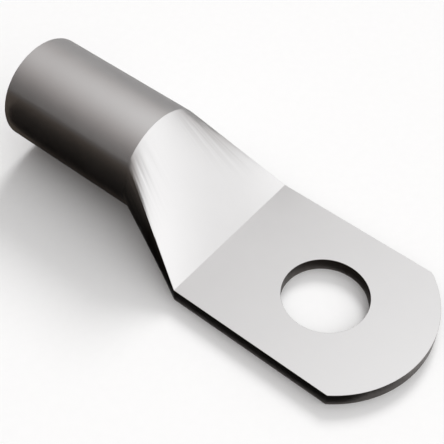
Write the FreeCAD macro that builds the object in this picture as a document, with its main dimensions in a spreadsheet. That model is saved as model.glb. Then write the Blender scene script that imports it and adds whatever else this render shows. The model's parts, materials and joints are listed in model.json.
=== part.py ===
import FreeCAD, Part
import Sketcher
import math
import os

# A tubular cable lug, made from one length of seamless copper tube and tin plated all over.
# The conductor goes into the round barrel at -X and is crimped there. The other end of the tube
# is pressed flat into the palm, which is cut to a wide arc at its tip and punched for a stud.
# The origin is on the palm's underside at the centre of the stud hole, with +X towards the tip.

# Driving dimensions in millimetres and degrees, each with what it sets.
SIZES = (
    ("stud_hole_diameter", 10.5, "clearance hole for a 10 mm stud"),
    ("palm_width", 21.6, "across the two straight sides of the palm"),
    ("palm_thickness", 1.85, "two walls of the tube pressed together"),
    ("palm_setback", 14.0, "stud hole centre back to the fold where the palm starts"),
    ("tip_reach", 13.35, "stud hole centre out to the middle of the arched tip"),
    ("tip_rise", 5.5, "how far the arched tip stands out past its two corners"),
    ("bore_diameter", 12.0, "inside of the barrel, for the stripped conductor"),
    ("barrel_wall", 0.95, "wall of the drawn tube"),
    ("barrel_length", 20.2, "straight round barrel, mouth to the start of the taper"),
    ("barrel_rise", 0.6, "underside of the barrel above the underside of the palm"),
    ("taper_length", 11.15, "round barrel to flat palm, measured along the barrel"),
    ("crease_angle", 35.0, "how far above the barrel's middle each crease of the taper runs out"),
    ("press_gap", 0.2, "what is left open between the walls where the taper ends"),
    ("mouth_bevel", 0.3, "lead-in for the strands, inside the barrel's mouth"),
    ("rim_bevel", 0.1, "deburred rims of the stud hole"),
)

doc = FreeCAD.newDocument("cable_lug")
sheet = doc.addObject("Spreadsheet::Sheet", "sizes")
for row, (alias, value, meaning) in enumerate(SIZES, start=1):
    sheet.set(f"A{row}", meaning)
    sheet.set(f"B{row}", str(value))
    sheet.setAlias(f"B{row}", alias)
doc.recompute()

# The whole lug is one piece of tube, so it is one body.
lug = doc.addObject("PartDesign::Body", "lug")
lug.Label = "lug"
lug.Placement = FreeCAD.Placement()

# Places that follow from those sizes, as the sketches and features read them.
BORE_RADIUS = "(sizes.bore_diameter / 2)"
BARREL_RADIUS = "(sizes.bore_diameter / 2 + sizes.barrel_wall)"
AXIS_HEIGHT = f"(sizes.barrel_rise + {BARREL_RADIUS})"
FOLD_PLANE = "-sizes.palm_setback"
TAPER_PLANE = "-(sizes.palm_setback + sizes.taper_length)"

# The hollow keeps the tube's wall under the sloping crown of the taper. Where the crown bends down
# from the barrel, the inside bends a little earlier, and the slit closes a little before the fold.
CROWN_DROP = f"({AXIS_HEIGHT} + {BARREL_RADIUS} - sizes.palm_thickness)"
CROWN_SLOPE = f"atan({CROWN_DROP} / sizes.taper_length)"
SLIT_WALL = "((sizes.palm_thickness - sizes.press_gap) / 2)"
SLIT_TOP = "((sizes.palm_thickness + sizes.press_gap) / 2)"
SLIT_WIDTH = "(sizes.palm_width - 2 * sizes.barrel_wall)"
BORE_SHORTER = f"(sizes.barrel_wall * tan({CROWN_SLOPE} / 2))"
SLIT_SHORTER = f"((sizes.barrel_wall / cos({CROWN_SLOPE}) - {SLIT_WALL}) / tan({CROWN_SLOPE}))"
BORE_END_PLANE = f"{TAPER_PLANE} - {BORE_SHORTER}"
SLIT_PLANE = f"{FOLD_PLANE} - {SLIT_SHORTER}"
BORE_LENGTH = f"(sizes.barrel_length - {BORE_SHORTER})"

# How a sketch numbers the points of a line or arc, its own two axes and its origin.
START, END, CENTRE = range(1, 4)
ACROSS, UPRIGHT = -1, -2
ORIGIN = (ACROSS, START)

# What is drawn starts roughly this far out, and its dimensions then pull it to size.
SKETCH_UNIT = 1.0
SKETCH_MIDDLE = FreeCAD.Vector(0, 2 * SKETCH_UNIT, 0)
NORMAL = FreeCAD.Vector(0, 0, 1)

SAME = 1e-4  # millimetres within which two measures count as equal


def sketch_on(role, name, offset=None):
    """A sketch on one of the body's own origin planes, moved along its normal by an expression."""
    sketch = lug.newObject("Sketcher::SketchObject", name)
    plane = next(item for item in lug.Origin.OriginFeatures if item.Role == role)
    sketch.AttachmentSupport = [(plane, "")]
    sketch.MapMode = "FlatFace"
    if offset:
        sketch.setExpression("AttachmentOffset.Base.z", offset)
    return sketch


def constrain(sketch, *rule):
    """Add one geometric rule to a sketch."""
    return sketch.addConstraint(Sketcher.Constraint(*rule))


def dimension(sketch, name, expression, *rule):
    """Add one named dimension to a sketch and bind it to the sheet of sizes."""
    sketch.renameConstraint(constrain(sketch, *rule), name)
    sketch.setExpression(f"Constraints.{name}", expression)


def close_loop(sketch, edges):
    """Join each edge's end to the start of the next."""
    for edge, following in zip(edges, edges[1:] + edges[:1]):
        constrain(sketch, "Coincident", edge, END, following, START)


def draw_palm_outline():
    """The palm from above: two straight sides, the fold behind them and the arched tip."""
    sketch = sketch_on("XY_Plane", "palm_outline")
    fold = FreeCAD.Vector(-2 * SKETCH_UNIT, 0, 0)
    corner = FreeCAD.Vector(SKETCH_UNIT, 0, 0)
    crown = FreeCAD.Vector(1.5 * SKETCH_UNIT, 0, 0)
    out = FreeCAD.Vector(0, SKETCH_UNIT, 0)
    near = sketch.addGeometry(Part.LineSegment(fold - out, corner - out))
    arch = sketch.addGeometry(Part.Arc(corner - out, crown, corner + out))
    far = sketch.addGeometry(Part.LineSegment(corner + out, fold + out))
    back = sketch.addGeometry(Part.LineSegment(fold + out, fold - out))
    tip = sketch.addGeometry(Part.Point(crown), True)
    close_loop(sketch, [near, arch, far, back])
    constrain(sketch, "Horizontal", near)
    constrain(sketch, "Horizontal", far)
    constrain(sketch, "Symmetric", back, START, back, END, ACROSS)
    constrain(sketch, "PointOnObject", arch, CENTRE, ACROSS)
    constrain(sketch, "PointOnObject", tip, START, ACROSS)
    constrain(sketch, "PointOnObject", tip, START, arch)
    dimension(sketch, "width", "sizes.palm_width", "DistanceY", back, END, back, START, SKETCH_UNIT)
    dimension(sketch, "setback", "sizes.palm_setback", "DistanceX", back, END, *ORIGIN, SKETCH_UNIT)
    dimension(sketch, "reach", "sizes.tip_reach", "DistanceX", *ORIGIN, tip, START, SKETCH_UNIT)
    dimension(sketch, "rise", "sizes.tip_rise", "DistanceX", near, END, tip, START, SKETCH_UNIT)
    return sketch


def draw_stud_circle():
    """The stud hole, round the origin."""
    sketch = sketch_on("XY_Plane", "stud_circle")
    circle = sketch.addGeometry(Part.Circle(FreeCAD.Vector(), NORMAL, SKETCH_UNIT))
    constrain(sketch, "Coincident", circle, CENTRE, *ORIGIN)
    dimension(sketch, "across", "sizes.stud_hole_diameter", "Diameter", circle, SKETCH_UNIT)
    return sketch


def draw_tube_circle(name, plane, radius):
    """A circle round the barrel's axis, in a plane across it."""
    sketch = sketch_on("YZ_Plane", name, plane)
    circle = sketch.addGeometry(Part.Circle(SKETCH_MIDDLE, NORMAL, SKETCH_UNIT))
    constrain(sketch, "PointOnObject", circle, CENTRE, UPRIGHT)
    dimension(sketch, "height", AXIS_HEIGHT, "DistanceY", *ORIGIN, circle, CENTRE, SKETCH_UNIT)
    dimension(sketch, "radius", radius, "Radius", circle, SKETCH_UNIT)
    return sketch


def draw_creased_circle(name, plane, radius):
    """Such a circle in four arcs, crown first, which part where the taper's creases run out."""
    sketch = sketch_on("YZ_Plane", name, plane)
    circle = Part.Circle(SKETCH_MIDDLE, NORMAL, SKETCH_UNIT)
    quarter = math.pi / 2
    corners = [quarter / 2 + quarter * turn for turn in range(5)]
    arcs = [
        sketch.addGeometry(Part.ArcOfCircle(circle, begin, finish))
        for begin, finish in zip(corners, corners[1:])
    ]
    crown, near, keel, far = arcs
    close_loop(sketch, arcs)
    constrain(sketch, "Coincident", near, CENTRE, crown, CENTRE)
    constrain(sketch, "Coincident", keel, CENTRE, crown, CENTRE)
    constrain(sketch, "PointOnObject", far, CENTRE, UPRIGHT)
    constrain(sketch, "PointOnObject", crown, CENTRE, UPRIGHT)
    constrain(sketch, "Horizontal", crown, START, crown, END)
    constrain(sketch, "Vertical", near, START, near, END)
    constrain(sketch, "Horizontal", keel, START, keel, END)
    spoke = sketch.addGeometry(Part.LineSegment(SKETCH_MIDDLE, circle.value(corners[0])), True)
    constrain(sketch, "Coincident", spoke, START, crown, CENTRE)
    constrain(sketch, "Coincident", spoke, END, crown, START)
    dimension(sketch, "height", AXIS_HEIGHT, "DistanceY", *ORIGIN, crown, CENTRE, SKETCH_UNIT)
    dimension(sketch, "radius", radius, "Radius", crown, SKETCH_UNIT)
    dimension(sketch, "crease", "sizes.crease_angle", "Angle", spoke, corners[0])
    return sketch


def draw_flat_section(name, plane, width, height, top):
    """A rectangle across the lug, its four sides in the order of the creased circle's arcs."""
    sketch = sketch_on("YZ_Plane", name, plane)
    out = FreeCAD.Vector(SKETCH_UNIT, 0, 0)
    up = FreeCAD.Vector(0, SKETCH_UNIT, 0)
    corners = [up + up + out, up + up - out, up - out, up + out]
    sides = [
        sketch.addGeometry(Part.LineSegment(begin, finish))
        for begin, finish in zip(corners, corners[1:] + corners[:1])
    ]
    crown, near, keel, far = sides
    close_loop(sketch, sides)
    constrain(sketch, "Vertical", near)
    constrain(sketch, "Horizontal", keel)
    constrain(sketch, "Vertical", far)
    constrain(sketch, "Symmetric", crown, START, crown, END, UPRIGHT)
    dimension(sketch, "width", width, "DistanceX", crown, END, crown, START, SKETCH_UNIT)
    dimension(sketch, "height", height, "DistanceY", near, END, near, START, SKETCH_UNIT)
    dimension(sketch, "top", top, "DistanceY", *ORIGIN, crown, END, SKETCH_UNIT)
    return sketch


def add_pad(name, sketch, length, backwards=False):
    """Metal of a sketch's outline, out to a length from the sheet."""
    pad = lug.newObject("PartDesign::Pad", name)
    pad.Profile = sketch
    pad.Reversed = backwards
    pad.setExpression("Length", length)
    return pad


def add_taper(kind, name, round_end, flat_end):
    """A ruled skin from a creased circle to a flat section, as metal or as a hollow."""
    loft = lug.newObject(kind, name)
    loft.Profile = round_end
    loft.Sections = [(flat_end, [""])]
    loft.Ruled = True
    return loft


def cut_through(name, sketch):
    """A hole of a sketch's outline, up through all the metal above the sketch."""
    hole = lug.newObject("PartDesign::Pocket", name)
    hole.Profile = sketch
    hole.Type = "ThroughAll"
    hole.Reversed = True
    return hole


def cut_backwards(name, sketch, length):
    """A hole of a sketch's outline, from the sketch towards the barrel's mouth."""
    hole = lug.newObject("PartDesign::Pocket", name)
    hole.Profile = sketch
    hole.setExpression("Length", length)
    return hole


def round_rims(shape, radius, centres):
    """The names of a shape's circular edges that have one radius and a centre at a given place."""
    names = []
    for number, edge in enumerate(shape.Edges, start=1):
        curve = edge.Curve
        if not isinstance(curve, Part.Circle) or abs(curve.Radius - radius) > SAME:
            continue
        if any(curve.Center.distanceToPoint(centre) < SAME for centre in centres):
            names.append(f"Edge{number}")
    return names


def bevel_rims(name, base, rims, width):
    """An even bevel on the named edges of the solid so far."""
    bevel = lug.newObject("PartDesign::Chamfer", name)
    bevel.Base = (base, rims)
    bevel.setExpression("Size", width)
    return bevel


def build_outside():
    """The solid form: flat palm, straight barrel and the ruled taper that the press leaves between."""
    add_pad("palm", draw_palm_outline(), "sizes.palm_thickness")
    add_taper(
        "PartDesign::AdditiveLoft",
        "taper",
        draw_creased_circle("taper_round_end", TAPER_PLANE, BARREL_RADIUS),
        draw_flat_section(
            "taper_flat_end", FOLD_PLANE, "sizes.palm_width", "sizes.palm_thickness", "sizes.palm_thickness"
        ),
    )
    barrel_circle = draw_tube_circle("barrel_circle", TAPER_PLANE, BARREL_RADIUS)
    add_pad("barrel", barrel_circle, "sizes.barrel_length", backwards=True)


def build_hollow():
    """What stays open inside the tube: the bore, and its taper down to a slit between the walls."""
    cut_backwards("conductor_bore", draw_tube_circle("bore_circle", BORE_END_PLANE, BORE_RADIUS), BORE_LENGTH)
    add_taper(
        "PartDesign::SubtractiveLoft",
        "tapered_hollow",
        draw_creased_circle("hollow_round_end", BORE_END_PLANE, BORE_RADIUS),
        draw_flat_section("hollow_flat_end", SLIT_PLANE, SLIT_WIDTH, "sizes.press_gap", SLIT_TOP),
    )


def punch_palm():
    """The stud hole, with its two rims deburred."""
    hole = cut_through("stud_hole", draw_stud_circle())
    doc.recompute()
    top = FreeCAD.Vector(0, 0, sheet.get("palm_thickness"))
    rims = round_rims(hole.Shape, sheet.get("stud_hole_diameter") / 2, [FreeCAD.Vector(), top])
    bevel_rims("stud_hole_rims", hole, rims, "sizes.rim_bevel")


def open_mouth():
    """The lead-in inside the barrel's mouth."""
    doc.recompute()
    solid = lug.Tip
    reach = sheet.get("palm_setback") + sheet.get("taper_length") + sheet.get("barrel_length")
    bore_radius = sheet.get("bore_diameter") / 2
    height = sheet.get("barrel_rise") + bore_radius + sheet.get("barrel_wall")
    rims = round_rims(solid.Shape, bore_radius, [FreeCAD.Vector(-reach, 0, height)])
    bevel_rims("mouth_lead_in", solid, rims, "sizes.mouth_bevel")


def check_features():
    """Stop unless every object is sound and every cut or bevel takes metal away."""
    for item in doc.Objects:
        if "Invalid" in item.State or "Error" in item.State:
            raise RuntimeError(f"{item.Name} did not build: {item.State}")
    for name in ("conductor_bore", "tapered_hollow", "stud_hole", "stud_hole_rims", "mouth_lead_in"):
        cut = doc.getObject(name)
        if cut.Shape.Volume >= cut.BaseFeature.Shape.Volume:
            raise RuntimeError(f"{name} takes nothing away")
    if lug.Shape.isNull() or not lug.Shape.isValid() or len(lug.Shape.Solids) != 1:
        raise RuntimeError("the lug is not one valid solid")


build_outside()
build_hollow()
punch_palm()
open_mouth()
doc.recompute()
check_features()

os.makedirs("parts", exist_ok=True)
lug.Shape.exportStep("parts/lug.step")
print(f"lug: {lug.Shape.Volume:.2f} cubic millimetres in {len(lug.Shape.Faces)} faces")
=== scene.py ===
import json
import math

import bmesh
import bpy
from mathutils import Matrix, Vector


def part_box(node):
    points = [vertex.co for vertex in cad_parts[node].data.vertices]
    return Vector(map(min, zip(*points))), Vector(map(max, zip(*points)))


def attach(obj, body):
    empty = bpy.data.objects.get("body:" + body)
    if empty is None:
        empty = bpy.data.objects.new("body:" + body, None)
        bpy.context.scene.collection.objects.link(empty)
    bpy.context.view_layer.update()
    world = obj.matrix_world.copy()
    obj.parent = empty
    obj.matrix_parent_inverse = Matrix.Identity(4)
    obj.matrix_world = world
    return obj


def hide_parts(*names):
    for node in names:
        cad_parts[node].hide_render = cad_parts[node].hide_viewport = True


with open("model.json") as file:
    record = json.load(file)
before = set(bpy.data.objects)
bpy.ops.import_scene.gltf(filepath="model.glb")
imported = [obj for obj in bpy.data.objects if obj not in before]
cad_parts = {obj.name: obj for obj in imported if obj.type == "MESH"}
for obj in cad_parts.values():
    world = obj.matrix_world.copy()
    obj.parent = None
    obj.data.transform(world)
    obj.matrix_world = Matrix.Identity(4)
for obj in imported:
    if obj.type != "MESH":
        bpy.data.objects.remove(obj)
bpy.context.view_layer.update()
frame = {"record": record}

# The lug. One length of seamless copper tube, annealed and bright tin plated: the barrel keeps the
# tube's round, a press folds the rest down to a flat palm, and the palm is cropped to an arc and
# punched for its stud. It lies loose on its palm, so nothing fixes it.

MM = 0.001
TOUCHING = 0.001 * MM  # points nearer than this are in the same place
low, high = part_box("lug")
mounts = {mount["name"]: mount for mount in frame["record"]["mounts"]}
stud_radius = mounts["stud_hole"]["dims"]["r_mm"] * MM
bore_radius = mounts["conductor_bore"]["dims"]["r_mm"] * MM
axis_height = mounts["conductor_bore"]["pos_m"][2]
palm_top = mounts["palm_top"]["pos_m"][2]
barrel_radius = high.z - axis_height
half_width = high.y
tube_wall = barrel_radius - bore_radius

fold = -14.0 * MM  # where the palm starts, behind the stud hole
taper_start = fold - 11.15 * MM  # where the barrel ends
corner = math.sqrt(high.x**2 - half_width**2)  # where the sides meet the tip, an arc about the stud
bore_end = taper_start - 0.43 * MM  # the inside bends a little before the outside does
slit_end = fold - 0.54 * MM  # and its walls meet a little before the fold
slit_height = 0.2 * MM
mouth_bevel = 0.3 * MM
edge_round = 0.03 * MM  # the tumbled edges
palm_border = 0.3 * MM  # a narrow rim of even faces round the palm, for its edges to be rounded in
SHEARED = math.radians(60)  # an edge turns by more than this where the tube is cut or squeezed square
CRISP = math.radians(15)  # and by more than this where the press bends it

# The tube's round is in steps of 2.5 degrees, so that a step falls on each crease of the taper.
ROUND_STEPS = 144
CROWN_STEPS = 44
SIDE_STEPS = 28
TAPER_ROWS = 24
TIP_STEPS = 60
HOLE_STEPS = 96


def at(axis, place):
    """A test of whether a point lies at one place along an axis."""
    return lambda point: abs(point[axis] - place) < TOUCHING


def is_open(edge):
    """Whether an edge still lacks a face on one side."""
    return len(edge.link_faces) < 2


def pick(kind, *tests, only=None):
    """Select, in edit mode, only the edges or faces all of whose corners pass every test."""
    bpy.ops.mesh.select_mode(type=kind)
    bpy.ops.mesh.select_all(action="DESELECT")
    shape = bmesh.from_edit_mesh(bpy.context.object.data)
    for part in {"EDGE": shape.edges, "FACE": shape.faces}[kind]:
        if all(test(vert.co) for test in tests for vert in part.verts) and (only is None or only(part)):
            part.select_set(True)
    bmesh.update_edit_mesh(bpy.context.object.data)


def rim(*places):
    """Select the open edges that lie in any of some planes across the lug."""
    pick("EDGE", lambda point: any(at(0, x)(point) for x in places), only=is_open)


def flat_loop(width, height, x):
    """Draw an open rectangle across the lug at the palm's mid height, in the tube's number of steps."""
    middle = palm_top / 2
    bpy.ops.mesh.primitive_plane_add(size=1, location=(x, 0, middle), rotation=(0, math.radians(90), 0))
    bpy.ops.transform.resize(value=(1, width, height), center_override=(x, 0, middle))
    for axis, centre, reach, cuts in (
        (2, middle, height / 2, CROWN_STEPS - 1),
        (1, 0, width / 2, SIDE_STEPS - 1),
    ):
        for place in (centre - reach, centre + reach):
            pick("EDGE", at(0, x), at(axis, place))
            bpy.ops.mesh.subdivide(number_cuts=cuts)
    pick("FACE", at(0, x))
    bpy.ops.mesh.delete(type="ONLY_FACE")


def draw_out(x=0, scale=1.0, centre=(0, 0, 0)):
    """Extrude the selected edges along the lug, then size the new edges across it."""
    bpy.ops.mesh.extrude_region_move(TRANSFORM_OT_translate={"value": (x, 0, 0)})
    bpy.ops.transform.resize(value=(1, scale, scale), center_override=centre)


bpy.ops.object.select_all(action="DESELECT")
bpy.ops.mesh.primitive_circle_add(
    vertices=ROUND_STEPS,
    radius=barrel_radius,
    fill_type="NOTHING",
    location=(taper_start, 0, axis_height),
    rotation=(0, math.radians(90), 0),
)
lug = bpy.context.object
lug.name = "tinned_lug"
bpy.ops.object.transform_apply()
bpy.ops.object.mode_set(mode="EDIT")

# The taper is ruled from the tube's round to the palm's flat section, as the press leaves it.
flat_loop(2 * half_width, palm_top, fold)
rim(taper_start, fold)
bpy.ops.mesh.bridge_edge_loops(number_cuts=TAPER_ROWS - 1, interpolation="LINEAR")

# The barrel, its square-cut mouth and the lead-in.
mouth = (low.x, 0, axis_height)
rim(taper_start)
draw_out(x=low.x - taper_start)
draw_out(scale=(bore_radius + mouth_bevel) / barrel_radius, centre=mouth)
draw_out(x=mouth_bevel, scale=bore_radius / (bore_radius + mouth_bevel), centre=mouth)

# The palm's edge runs out along one side, round the tip about the stud hole and back.
pick("EDGE", at(0, fold), at(1, -half_width))
draw_out(x=corner - fold)
bpy.ops.mesh.spin(
    steps=TIP_STEPS, angle=-2 * math.atan2(half_width, corner), center=(0, 0, 0), axis=(0, 0, 1)
)
pick("EDGE", at(0, corner), at(1, half_width))
draw_out(x=fold - corner)
bpy.ops.mesh.select_all(action="SELECT")
bpy.ops.mesh.remove_doubles(threshold=TOUCHING)

# The two flat faces, with the punched hole through them.
for height in (0, palm_top):
    bpy.ops.mesh.primitive_circle_add(
        vertices=HOLE_STEPS, radius=stud_radius, fill_type="NOTHING", location=(0, 0, height)
    )
    pick("EDGE", at(2, height), only=is_open)
    bpy.ops.mesh.fill()
    bpy.ops.mesh.inset(thickness=palm_border)
pick("EDGE", lambda point: abs(math.hypot(point.x, point.y) - stud_radius) < TOUCHING)
bpy.ops.mesh.bridge_edge_loops()

# The sheared edges are a little round from tumbling. The press's own bends stay crisp.
bpy.ops.mesh.select_all(action="SELECT")
bpy.ops.mesh.normals_make_consistent(inside=False)
pick("EDGE", only=lambda edge: len(edge.link_faces) == 2 and edge.calc_face_angle() > SHEARED)
bpy.ops.mesh.bevel(offset=edge_round, segments=2, affect="EDGES")

# Inside, the bore runs on from the mouth and closes to a slit between the walls.
rim(low.x + mouth_bevel)
draw_out(x=bore_end - low.x - mouth_bevel)
flat_loop(2 * (half_width - tube_wall), slit_height, slit_end)
rim(bore_end, slit_end)
bpy.ops.mesh.bridge_edge_loops(number_cuts=TAPER_ROWS - 1, interpolation="LINEAR")
rim(slit_end)
bpy.ops.mesh.edge_face_add()
bpy.ops.mesh.select_all(action="SELECT")
bpy.ops.mesh.normals_make_consistent(inside=False)

bpy.ops.object.mode_set(mode="OBJECT")
bpy.ops.object.shade_smooth_by_angle(angle=CRISP)
lug.modifiers.new("flat faces stay flat", "WEIGHTED_NORMAL").keep_sharp = True
bpy.ops.object.modifier_apply(modifier="flat faces stay flat")

# The lines that run along the tube: each keeps its place round the wall where the press spreads it.
CREASE = math.radians(35)  # the four creases, up and down from the barrel's sides


def unpress(point):
    """How flat a point is pressed, from 0 to 1, and its angle up or down from the tube's side before."""
    pressed = min(max((point.x - taper_start) / (fold - taper_start), 0), 1)
    middle = axis_height + (palm_top / 2 - axis_height) * pressed
    across, above = abs(point.y), abs(point.z - middle)
    least, most = 0, math.pi / 2
    for _ in range(16):  # each step halves the range that the angle is in
        angle = (least + most) / 2
        flat_y = half_width * min(1, (math.pi / 2 - angle) / (math.pi / 2 - CREASE))
        flat_z = palm_top / 2 * min(1, angle / CREASE)
        y = (1 - pressed) * barrel_radius * math.cos(angle) + pressed * flat_y
        z = (1 - pressed) * barrel_radius * math.sin(angle) + pressed * flat_z
        if z * across < above * y:
            least = angle
        else:
            most = angle
    return pressed, angle


def place_round(point):
    """How far round the tube's wall a point lies from the +Y side, in mm on the barrel."""
    angle = unpress(point)[1]
    return barrel_radius / MM * (angle if point.y > 0 else math.pi - angle)


def dull_and_shaded(point):
    """Dullness and painted shade: fully on the palm's upright edges and hole, less up the taper's sides.
    """
    if point.x > fold - 0.01 * MM:
        return 0.1 * edge_round < point.z < palm_top - 0.1 * edge_round
    pressed, angle = unpress(point)
    return min(1, 2 * pressed) * (angle < CREASE - math.radians(1))


def dragged(point):
    """How far the press dragged the wall, from 0 to 1."""
    pressed, angle = unpress(point)
    by_crease = min(max((math.radians(80) - angle) / math.radians(30), 0), 1)  # fully up to 50 degrees
    begun = min(6 * pressed, 1)  # fully from a sixth of the way along the taper
    left = max(1 - 1.2 * pressed, 0)  # and less and less, to nothing at five sixths
    return by_crease * begun * left


for name, measure in (("place_round", place_round), ("dull_and_shaded", dull_and_shaded), ("dragged", dragged)):
    attribute = lug.data.attributes.new(name, "FLOAT", "POINT")
    attribute.data.foreach_set("value", [float(measure(vert.co)) for vert in lug.data.vertices])


def linear(code):
    """An sRGB hex colour as linear red, green, blue and alpha."""
    parts = [int(code[place : place + 2], 16) / 255 for place in (1, 3, 5)]
    return (*(part / 12.92 if part <= 0.04045 else ((part + 0.055) / 1.055) ** 2.4 for part in parts), 1)


def add(tree, kind, settings={}, inputs={}):
    """Add a node with its settings, and set each input or link it to a node or a socket."""
    node = tree.nodes.new("ShaderNode" + kind)
    for name, value in settings.items():
        setattr(node, name, value)
    for name, value in inputs.items():
        if isinstance(value, bpy.types.Node):
            value = value.outputs[0]
        if isinstance(value, bpy.types.NodeSocket):
            tree.links.new(value, node.inputs[name])
        else:
            node.inputs[name].default_value = value
    return node


# Bright tin, a few micrometres thick, on drawn and annealed copper. It blurs what it mirrors, and
# clouds a little where the bath left it thicker. Draw lines run along the tube under it, the press
# dragged the wall at the start of the taper, and the squeezed and sheared edges of the palm are dull.
tin = bpy.data.materials.new("bright tin plate")
tin.use_nodes = True
tree = tin.node_tree
place = add(tree, "TexCoord").outputs["Object"]
along = add(tree, "SeparateXYZ", {}, {0: place})
around = add(tree, "Attribute", {"attribute_name": "place_round"}).outputs["Fac"]
# A mask of the dull edges, where painted shade also darkens the wall.
edges = add(tree, "Attribute", {"attribute_name": "dull_and_shaded"}).outputs["Fac"]
drag = add(tree, "Attribute", {"attribute_name": "dragged"}).outputs["Fac"]

# Clouds 4 mm across, and grain 0.25 mm across, drawn coarser than the plate's own so that it shows.
clouds = add(tree, "TexNoise", {}, {"Vector": place, "Scale": 250, "Detail": 3})
grain = add(tree, "TexNoise", {}, {"Vector": place, "Scale": 4000, "Detail": 2})

# Draw lines 0.17 mm apart and drag marks 0.7 mm apart. Both are some 20 times as long as they are
# wide, so their place is counted in mm round the wall and in steps of 20 mm along it.
steps_along = add(tree, "Math", {"operation": "MULTIPLY"}, {0: along.outputs["X"], 1: 1 / (20 * MM)})
lines_at = add(tree, "CombineXYZ", {}, {0: around, 1: steps_along})
lines = add(tree, "TexNoise", {}, {"Vector": lines_at, "Scale": 6, "Detail": 4, "Roughness": 0.6})
marks = add(tree, "TexNoise", {}, {"Vector": lines_at, "Scale": 1.4, "Detail": 1})
rise = add(tree, "Math", {"operation": "SUBTRACT"}, {0: marks, 1: 0.5})
drag_marks = add(tree, "Math", {"operation": "MULTIPLY"}, {0: rise, 1: drag})

# Shear marks 0.1 mm apart run up the palm's edges and the hole's wall.
upright = add(tree, "Mapping", {"vector_type": "POINT"}, {"Vector": place, "Scale": (1, 1, 0.06)})
shear = add(tree, "TexNoise", {}, {"Vector": upright, "Scale": 9000, "Detail": 2})
shear_marks = add(tree, "Math", {"operation": "MULTIPLY"}, {0: shear, 1: edges})

# The plate's colour and its clouds, and on the squeezed and sheared edges a dark grey that is painted
# shade. Where it clouds the plate is a little duller too, and on those edges much duller.
COLOUR_A, COLOUR_B, COLOUR = 6, 7, 2  # a Mix node's colour sockets, which share their names with others
cloudy = add(
    tree,
    "Mix",
    {"data_type": "RGBA"},
    {"Factor": clouds, COLOUR_A: linear("#E7E6E6"), COLOUR_B: linear("#ECEBEB")},
)
plate_with_painted_shade = add(
    tree,
    "Mix",
    {"data_type": "RGBA"},
    {"Factor": edges, COLOUR_A: cloudy.outputs[COLOUR], COLOUR_B: linear("#645F5C")},
)
roughness = add(
    tree,
    "MapRange",
    {},
    {"Value": clouds, "From Min": 0.3, "From Max": 0.7, "To Min": 0.29, "To Max": 0.32},
)
dulled = add(tree, "Mix", {}, {"Factor": edges, "A": roughness, "B": 0.42})

# The relief: how deep each pattern goes, in mm.
relief = 0
for pattern, depth in ((grain, 0.0008), (lines, 0.001), (drag_marks, 0.12), (shear_marks, 0.004)):
    relief = add(tree, "Math", {"operation": "MULTIPLY_ADD"}, {0: pattern, 1: depth, 2: relief})
bumps = add(tree, "Bump", {}, {"Height": relief, "Distance": MM})

shader = tree.nodes["Principled BSDF"]
shader.inputs["Metallic"].default_value = 1
tree.links.new(plate_with_painted_shade.outputs[COLOUR], shader.inputs["Base Color"])
tree.links.new(dulled.outputs[0], shader.inputs["Roughness"])
tree.links.new(bumps.outputs[0], shader.inputs["Normal"])
lug.data.materials.append(tin)
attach(lug, "root")
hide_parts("lug")

# The floor. A sheet of matt white paper, wide enough to have no edge in sight. Its fibres are drawn
# 1 mm across, much coarser than the real ones, so that they show.
bpy.ops.mesh.primitive_plane_add(size=4)
floor = bpy.context.object
floor.name = "paper_floor"
paper = bpy.data.materials.new("matt white paper")
paper.use_nodes = True
tree = paper.node_tree
fibres = add(tree, "TexNoise", {}, {"Vector": add(tree, "TexCoord").outputs["Object"], "Scale": 900})
tone = add(
    tree,
    "Mix",
    {"data_type": "RGBA"},
    {"Factor": fibres, COLOUR_A: linear("#F8F8F8"), COLOUR_B: linear("#FBFBFB")},
)
shader = tree.nodes["Principled BSDF"]
shader.inputs["Roughness"].default_value = 1
shader.inputs["Specular IOR Level"].default_value = 0.1
tree.links.new(tone.outputs[COLOUR], shader.inputs["Base Color"])
floor.data.materials.append(paper)

# Four matt cards that paint dark reflections into the metal, to draw its dark sides: a black one, bent
# to follow the front of the lug, black ones that lie under the barrel and in the stud hole, and a pale
# grey one behind the barrel. Only reflections show them: they stay out of the picture and leave no
# shadow.
CARD_TONES = {"black": "#4A433D", "grey": "#CBCBCB"}
card_lift = 0.05 * MM  # just clear of the floor


def make_card(name, colour):
    """Turn the new object into a card of one tone for painted reflections, which leaves no shadow."""
    bpy.ops.object.transform_apply()
    card = bpy.context.object
    card.name = name
    board = bpy.data.materials.new("matt " + colour + " card")
    board.use_nodes = True
    shader = board.node_tree.nodes["Principled BSDF"]
    shader.inputs["Base Color"].default_value = linear(CARD_TONES[colour])
    shader.inputs["Roughness"].default_value = 1
    shader.inputs["Specular IOR Level"].default_value = 0
    card.data.materials.append(board)
    card.visible_camera = False
    card.visible_diffuse = False
    card.visible_shadow = False


# Each card's lower edge follows a path on the floor, in mm from the stud hole. From there the card
# goes back by its depth and up by its height, so one without height lies flat and one with both leans.
# The front path keeps 0.45 mm off the barrel and 0.2 mm off the palm's side, then goes round the tip.
front = ((-95, -7.4), (-25.2, -7.4), (-14, -11), (8, -11), (12.1, -7.4), (14.4, -2.6))
for name, colour, depth, height, path in (
    ("front_card", "black", 0, 11.4, front),
    ("under_card", "black", 7.4, 0, front[:2]),
    ("back_card", "grey", 13, 26, ((-95, 16), (-22, 16))),
):
    folds = len(path) - 1
    bpy.ops.mesh.primitive_grid_add(x_subdivisions=folds, y_subdivisions=1, size=1)
    for vert in bpy.context.object.data.vertices:
        x, y = path[round((vert.co.x + 0.5) * folds)]
        side = vert.co.y + 0.5
        vert.co = (x * MM, (y + side * depth) * MM, card_lift + side * height * MM)
    make_card(name, colour)

# The card in the hole is a disc, set a little off centre towards the part of the wall that is darkest.
# It paints a dark reflection into the hole's wall.
bpy.ops.mesh.primitive_circle_add(
    vertices=HOLE_STEPS,
    radius=stud_radius - 0.55 * MM,
    fill_type="NGON",
    location=(0.15 * MM, 0.35 * MM, card_lift),
)
make_card("hole_card", "black")

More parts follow.
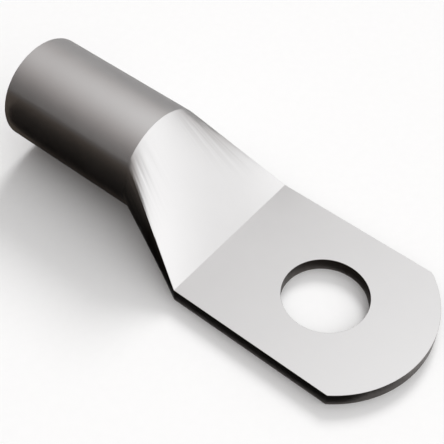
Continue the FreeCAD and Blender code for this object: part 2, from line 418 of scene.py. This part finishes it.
# The light. Soft boxes above and behind fill the room with one smooth sweep of light, brightest from
# the far right, nearly dark at the front and a little warm there. It is capped, so that what the metal
# mirrors doesn't clip. A soft lamp low at the back draws the shadow, and the metal doesn't mirror it.
sky = bpy.data.worlds.new("studio")
bpy.context.scene.world = sky
sky.use_nodes = True
tree = sky.node_tree
turn, climb = math.radians(32), math.radians(58)  # the brightest place: round from +X, and up
brightest = (math.cos(climb) * math.cos(turn), math.cos(climb) * math.sin(turn), math.sin(climb))
way = add(tree, "TexCoord").outputs["Generated"]
facing = add(tree, "VectorMath", {"operation": "DOT_PRODUCT"}, {0: way, 1: brightest})
share = add(tree, "Math", {"operation": "MULTIPLY_ADD"}, {0: facing.outputs["Value"], 1: 0.5, 2: 0.5})
sweep = add(tree, "Math", {"operation": "POWER"}, {0: share, 1: 3.2})

# The sweep goes from 0 opposite the brightest place to 1 there. The darkest light is 0.03, the cap 1.2.
level = add(tree, "Math", {"operation": "MULTIPLY_ADD"}, {0: sweep, 1: 1.43, 2: 0.03})
capped = add(tree, "Math", {"operation": "MINIMUM"}, {0: level, 1: 1.2})
tree.links.new(capped.outputs[0], tree.nodes["Background"].inputs["Strength"])
bright = add(tree, "MapRange", {}, {"Value": sweep, "From Min": 0.2, "From Max": 0.55})
tint = add(
    tree,
    "Mix",
    {"data_type": "RGBA"},
    {"Factor": bright, COLOUR_A: linear("#FFF7F4"), COLOUR_B: linear("#FFFFFF")},
)
tree.links.new(tint.outputs[COLOUR], tree.nodes["Background"].inputs["Color"])

# The lamp shines from 37 degrees up and 112 degrees round from +X.
bpy.ops.object.light_add(type="SUN", rotation=(0, math.radians(90 - 37), math.radians(112)))
lamp = bpy.context.object
lamp.name = "back_lamp"
lamp.data.energy = 1.45
lamp.data.angle = math.radians(20)
lamp.visible_glossy = False

# The camera stands where the photograph's stood, to the front right of the palm and above it. It aims
# at the floor behind the fold, and is turned a little about its own axis.
camera = bpy.data.objects.new("camera", bpy.data.cameras.new("camera"))
bpy.context.scene.collection.objects.link(camera)
camera.location = Vector((32.4, -61.21, 96)) * MM
aim = Vector((-17.215, 2.08, 0)) * MM - camera.location
roll = Matrix.Rotation(math.radians(1.42), 3, "Z")
camera.rotation_euler = (aim.to_track_quat("-Z", "Y").to_matrix() @ roll).to_euler()
camera.data.lens = 80.79  # on a frame 36 mm wide
bpy.context.scene.camera = camera

bpy.context.scene.view_settings.view_transform = "Standard"
